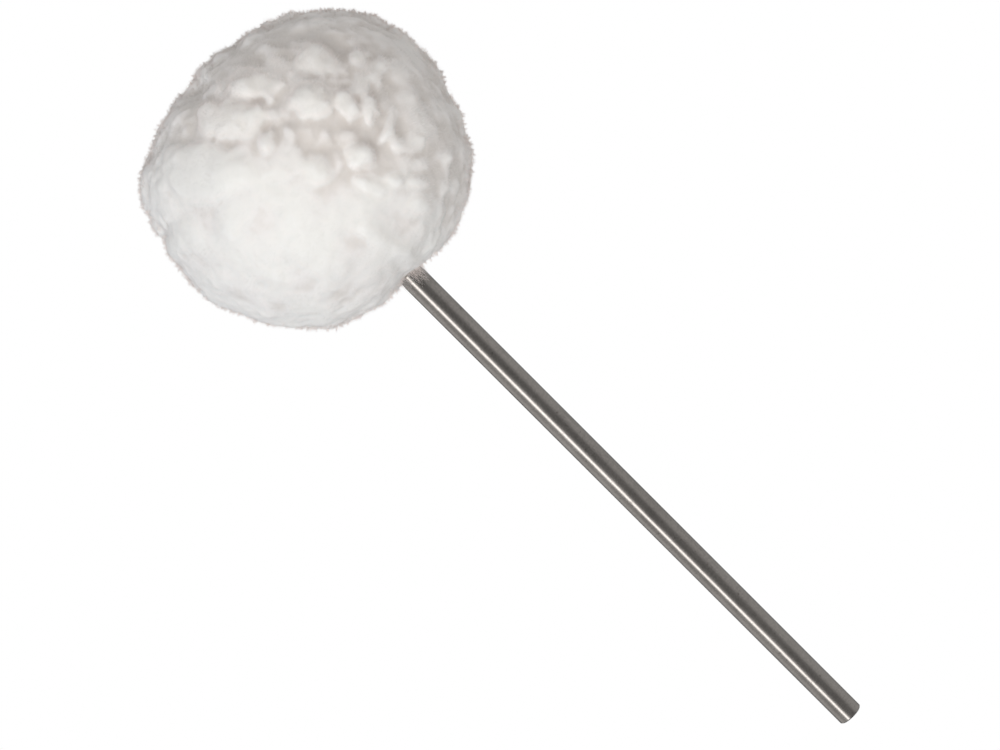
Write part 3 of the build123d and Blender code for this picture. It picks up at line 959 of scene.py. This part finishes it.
def plated_steel():
    """Bright zinc: a soft crystalline cloud, a faint blue and straw cast, and handling marks."""
    m, nt, b, at = fresh("plated_steel", 1.0)
    cell = nt.nodes.new("ShaderNodeTexVoronoi")
    cell.inputs["Scale"].default_value = 1400.0
    link(nt, at, cell.inputs["Vector"])
    cloud = noise(nt, at, 240.0, 4.0)
    scuff = noise(nt, at, 500.0, 3.0, 0.6, (1.0, 5.0, 1.0))
    tone = both(nt, both(nt, ranged(nt, cell.outputs["Distance"], 0.0, 0.25), ranged(nt, cloud, 0.1, 0.6)), ranged(nt, scuff, 0.0, 0.3))
    c = ramp(nt, tone, [(0.0, (0.50, 0.52, 0.55)), (0.5, (0.66, 0.665, 0.66)), (1.0, (0.78, 0.76, 0.69))])
    link(nt, c.outputs[0], b.inputs["Base Color"])
    link(nt, ranged(nt, tone, 0.22, 0.42), b.inputs["Roughness"])
    bumped(nt, b, tone, 0.000012)
    return m


def felt(name, pale, mid, deep):
    """Pressed wool felt: matted fine fibres, soft mottling and a few darker hairs."""
    m, nt, b, at = fresh(name, 0.0, 0.2)
    b.inputs["Sheen Weight"].default_value = 0.25
    b.inputs["Sheen Roughness"].default_value = 0.6
    mat_a = noise(nt, at, 1100.0, 5.0, 0.7, (1.0, 0.35, 1.0))
    mat_b = noise(nt, at, 1100.0, 5.0, 0.7, (0.35, 1.0, 0.6))
    cloud = noise(nt, at, 160.0, 4.0)
    hairs = ranged(nt, noise(nt, at, 520.0, 2.0, 0.5, (1.0, 0.12, 0.5)), 0.0, 1.0, 0.68, 0.74)
    tone = both(nt, both(nt, ranged(nt, mat_a, 0.0, 0.4), ranged(nt, mat_b, 0.0, 0.4)), ranged(nt, cloud, -0.1, 0.3))
    c = ramp(nt, both(nt, tone, ranged(nt, hairs, 0.0, 0.25), "SUBTRACT"), [(0.15, deep), (0.5, mid), (0.8, pale)])
    link(nt, c.outputs[0], b.inputs["Base Color"])
    link(nt, ranged(nt, tone, 0.85, 1.0), b.inputs["Roughness"])
    bumped(nt, b, tone, 0.00025)
    return m


def knit():
    """The fleece's knitted ground: rows of small loops round the head, in cream yarn."""
    m, nt, b, at = fresh("knit", 0.0, 0.2)
    b.inputs["Sheen Weight"].default_value = 0.2
    apart = nt.nodes.new("ShaderNodeSeparateXYZ")
    link(nt, at, apart.inputs[0])
    turn_of = both(nt, apart.outputs[1], apart.outputs[0], "ARCTAN2")
    wales = both(nt, both(nt, turn_of, 88.0, "MULTIPLY"), 0.0)
    across = both(nt, both(nt, wales, 0.0), 0.0, "SINE")
    rows = both(nt, apart.outputs[2], 4200.0, "MULTIPLY")
    slant = both(nt, both(nt, across, 0.0, "ABSOLUTE"), 1.6, "MULTIPLY")
    loops = both(nt, both(nt, rows, slant), 0.0, "SINE")
    fuzz = noise(nt, at, 1600.0, 4.0, 0.7)
    height = both(nt, both(nt, ranged(nt, loops, 0.0, 0.5, -1.0, 1.0), ranged(nt, both(nt, across, 0.0, "ABSOLUTE"), 0.0, 0.3)), ranged(nt, fuzz, 0.0, 0.35))
    # colour follows the loops' height: darker where they are low, a painted shade between the loops
    c = ramp(nt, height, [(0.1, (0.66, 0.62, 0.55)), (0.5, (0.83, 0.80, 0.74)), (0.9, (0.92, 0.90, 0.85))])
    link(nt, c.outputs[0], b.inputs["Base Color"])
    link(nt, ranged(nt, fuzz, 0.85, 1.0), b.inputs["Roughness"])
    bumped(nt, b, height, 0.0003)
    return m


def waxed_thread():
    """Twisted linen thread with a thin coat of wax."""
    m, nt, b, at = fresh("waxed_thread", 0.0, 0.4)
    apart = nt.nodes.new("ShaderNodeSeparateXYZ")
    link(nt, at, apart.inputs[0])
    turn_of = both(nt, apart.outputs[1], apart.outputs[0], "ARCTAN2")
    plies = both(nt, both(nt, both(nt, turn_of, 30.0, "MULTIPLY"), both(nt, apart.outputs[2], 5200.0, "MULTIPLY")), 0.0, "SINE")
    fibre = noise(nt, at, 2600.0, 4.0, 0.7, (1.0, 1.0, 0.4))
    height = both(nt, ranged(nt, plies, 0.0, 0.6, -1.0, 1.0), ranged(nt, fibre, 0.0, 0.4))
    # colour follows the height: darker in the grooves between the plies, a painted shade
    c = ramp(nt, height, [(0.1, (0.55, 0.49, 0.38)), (0.5, (0.78, 0.73, 0.62)), (0.9, (0.88, 0.84, 0.74))])
    link(nt, c.outputs[0], b.inputs["Base Color"])
    link(nt, ranged(nt, fibre, 0.4, 0.62), b.inputs["Roughness"])
    bumped(nt, b, height, 0.00008)
    return m


steel, zinc = ground_steel(), plated_steel()
finishes = {
    "shaft": steel,
    "seat_washer": zinc,
    "crown_washer": zinc,
    "lock_washer": zinc,
    "crown_nut": zinc,
    "felt_core": felt("core_felt", (0.86, 0.83, 0.76), (0.78, 0.74, 0.66), (0.62, 0.57, 0.49)),
    "crown_plug": felt("plug_felt", (0.89, 0.87, 0.82), (0.82, 0.79, 0.72), (0.68, 0.64, 0.57)),
    "fleece_backing": knit(),
    "neck_whipping": waxed_thread(),
    "fleece_pile": body_mat,
}
for name, finish in finishes.items():
    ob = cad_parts[name]
    if not ob.material_slots:
        ob.data.materials.append(finish)
    for place in ob.material_slots:
        place.material = finish

# ---------------------------------------------------------------- studio

# The soft boxes that the rod mirrors: how bright the room is round the upright rod, by degrees from the camera's side
# towards -X.
ROOM = [
    (-180, 0.12), (-150, 0.18), (-126, 0.30), (-90, 0.32), (-60, 0.30), (-45, 0.22), (-34, 0.15), (-10, 0.13),
    (8, 0.15), (20, 0.25), (29, 0.55), (34, 1.6), (39, 2.25), (44, 2.05), (49, 1.15), (55, 0.42), (62, 0.28), (84, 0.30), (96, 0.39),
    (112, 0.44), (127, 0.42), (140, 0.2), (155, 0.12), (180, 0.12),
]  # fmt: skip

world = bpy.data.worlds.new("studio")
scene.world = world
world.use_nodes = True
wt = world.node_tree
bg = wt.nodes["Background"]
bg.inputs[1].default_value = 0.415
where = wt.nodes.new("ShaderNodeTexCoord")
apart = wt.nodes.new("ShaderNodeSeparateXYZ")
wt.links.new(where.outputs["Generated"], apart.inputs[0])
tone = ramp(
    wt,
    ranged(wt, apart.outputs[0], 0.0, 1.0, -1.0, 1.0),
    [(0.0, (0.575, 0.63, 0.70)), (0.25, (0.835, 0.855, 0.88)), (0.5, (1.0, 1.0, 1.0)), (1.0, (1.28, 1.26, 1.24))],
)
wt.links.new(tone.outputs[0], bg.inputs[0])

away = both(wt, apart.outputs[0], -1.0, "MULTIPLY")
ahead = both(wt, apart.outputs[1], -1.0, "MULTIPLY")
round_ = both(wt, away, ahead, "ARCTAN2")
bright = ramp(
    wt,
    ranged(wt, round_, 0.0, 1.0, -math.pi, math.pi),
    [((a + 180) / 360, (v / 2.5,) * 3) for a, v in ROOM],
)
boxes = wt.nodes.new("ShaderNodeBackground")
wt.links.new(bright.outputs[0], boxes.inputs[0])
boxes.inputs[1].default_value = 2.5
path = wt.nodes.new("ShaderNodeLightPath")
either = wt.nodes.new("ShaderNodeMixShader")
wt.links.new(path.outputs["Is Glossy Ray"], either.inputs[0])
wt.links.new(bg.outputs[0], either.inputs[1])
wt.links.new(boxes.outputs[0], either.inputs[2])
wt.links.new(either.outputs[0], wt.nodes["World Output"].inputs[0])


def soft_sun(name, energy, angle, along):
    light = bpy.data.lights.new(name, "SUN")
    light.energy = energy
    light.angle = math.radians(angle)
    ob = bpy.data.objects.new(name, light)
    scene.collection.objects.link(ob)
    ob.rotation_mode = "QUATERNION"
    ob.rotation_quaternion = Vector(along).to_track_quat("-Z", "Y")
    ob.visible_glossy = False
    return ob


soft_sun("key", 1.935, 50, (0.46, 0.98, -0.05))
soft_sun("back_fill", 0.95, 12, (-0.22, -1.0, 0.36))

# one seamless white sweep: the floor, its curve up to the wall, and the ceiling. It is lit evenly and shows only to
# the camera, so the object stands on plain white from every side.
sweep = [(0.0, -1.2)] + [(r, -1.2) for r in (1.5, 3.0, 4.5)]
sweep += [(4.5 + 2.5 * math.sin(t), 1.3 - 2.5 * math.cos(t)) for t in np.linspace(0.15, math.pi / 2, 10)]
sweep += [(7.0, 2.0)] + [(7.0 * math.cos(t), 2.0 + 5.0 * math.sin(t)) for t in np.linspace(0.12, math.pi / 2 - 0.05, 12)]
n = 96
stage_co = [(0, 0, sweep[0][1])] + [
    (r * math.cos(2 * math.pi * k / n), r * math.sin(2 * math.pi * k / n), z) for r, z in sweep[1:] for k in range(n)
]
stage_co.append((0, 0, 7.0))
rows, last = len(sweep) - 1, len(stage_co) - 1
stage_tri = []
for k in range(n):
    m = (k + 1) % n
    stage_tri.append((0, 1 + k, 1 + m))
    for i in range(rows - 1):
        p, q = 1 + i * n, 1 + (i + 1) * n
        stage_tri += [(p + k, q + k, q + m), (p + k, q + m, p + m)]
    p = 1 + (rows - 1) * n
    stage_tri.append((p + k, last, p + m))
floor = new_mesh("floor_sweep", np.array(stage_co), np.array(stage_tri).ravel(), np.arange(len(stage_tri)) * 3)
white = bpy.data.materials.new("stage_white")
white.use_nodes = True
nt = white.node_tree
nt.nodes.clear()
em = nt.nodes.new("ShaderNodeEmission")
out = nt.nodes.new("ShaderNodeOutputMaterial")
em.inputs[0].default_value = (1, 1, 1, 1)
em.inputs[1].default_value = 1.0
nt.links.new(em.outputs[0], out.inputs[0])
floor.data.materials.append(white)
for attr in ("visible_diffuse", "visible_glossy", "visible_transmission", "visible_shadow"):
    setattr(floor, attr, False)

scene.view_settings.view_transform = "Standard"
scene.cycles.max_bounces = 20
scene.cycles.diffuse_bounces = 16
